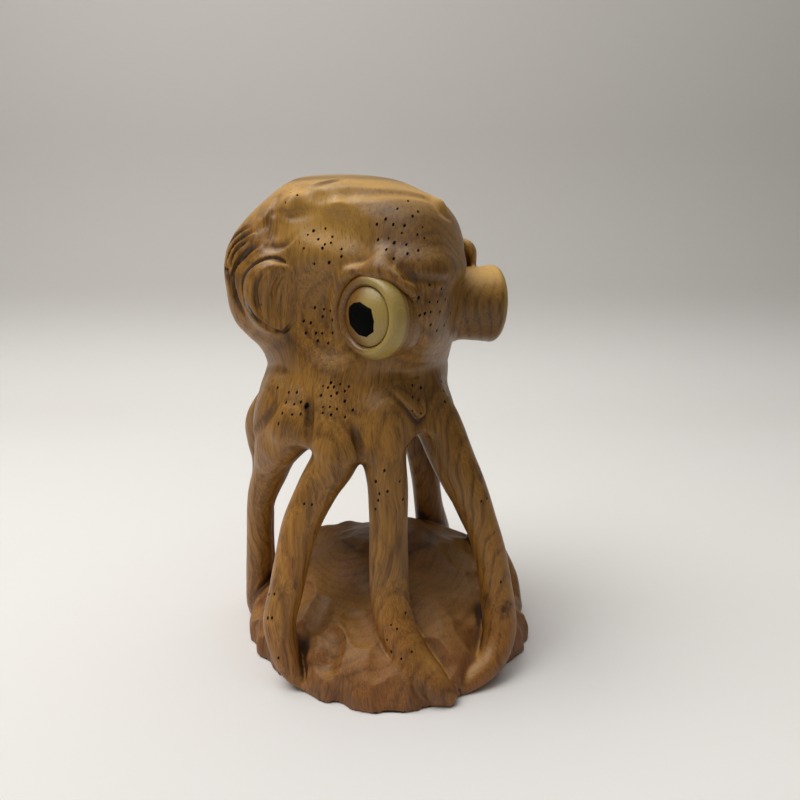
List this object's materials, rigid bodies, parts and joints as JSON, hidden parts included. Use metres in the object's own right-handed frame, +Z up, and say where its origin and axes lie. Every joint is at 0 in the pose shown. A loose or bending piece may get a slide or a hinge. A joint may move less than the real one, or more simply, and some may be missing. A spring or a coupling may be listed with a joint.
{
  "type": "octopus figurine",
  "caption": "Carved wooden octopus that stands on curling arms on a rock mound, with a tube siphon, domed eyes and punched dot skin.",
  "frame": {"origin": "middle of the rock's flat bottom, on the surface that the figurine stands on", "axes": "+Z up, +X towards the siphon, -Y towards the front of the picture"},
  "size_m": [0.1339, 0.1274, 0.2],
  "materials": {
    "carved_wood": "oiled satin, golden brown heartwood with dark figure",
    "rock_wood": "oiled satin, gouge cut, darker red brown",
    "pale_sapwood": "oiled satin, pale yellow sapwood on one side",
    "black_paint": "wood painted satin black"
  },
  "bodies": {
    "root": {"rock_base": "rock_wood", "arm_front": "carved_wood", "arm_front_left": "carved_wood", "arm_left": "carved_wood", "arm_rear_left": "carved_wood", "arm_rear": "carved_wood", "arm_rear_right": "carved_wood", "arm_right": "carved_wood", "arm_front_right": "carved_wood", "arm_web": "carved_wood", "web_flap": "carved_wood", "mantle": "carved_wood", "mantle_coil": "carved_wood", "siphon": "carved_wood", "front_eye_ring": "pale_sapwood", "front_eye_ball": "pale_sapwood", "front_eye_pupil": "black_paint", "rear_eye_ring": "pale_sapwood", "rear_eye_ball": "pale_sapwood", "rear_eye_pupil": "black_paint"}
  },
  "joints": []
}
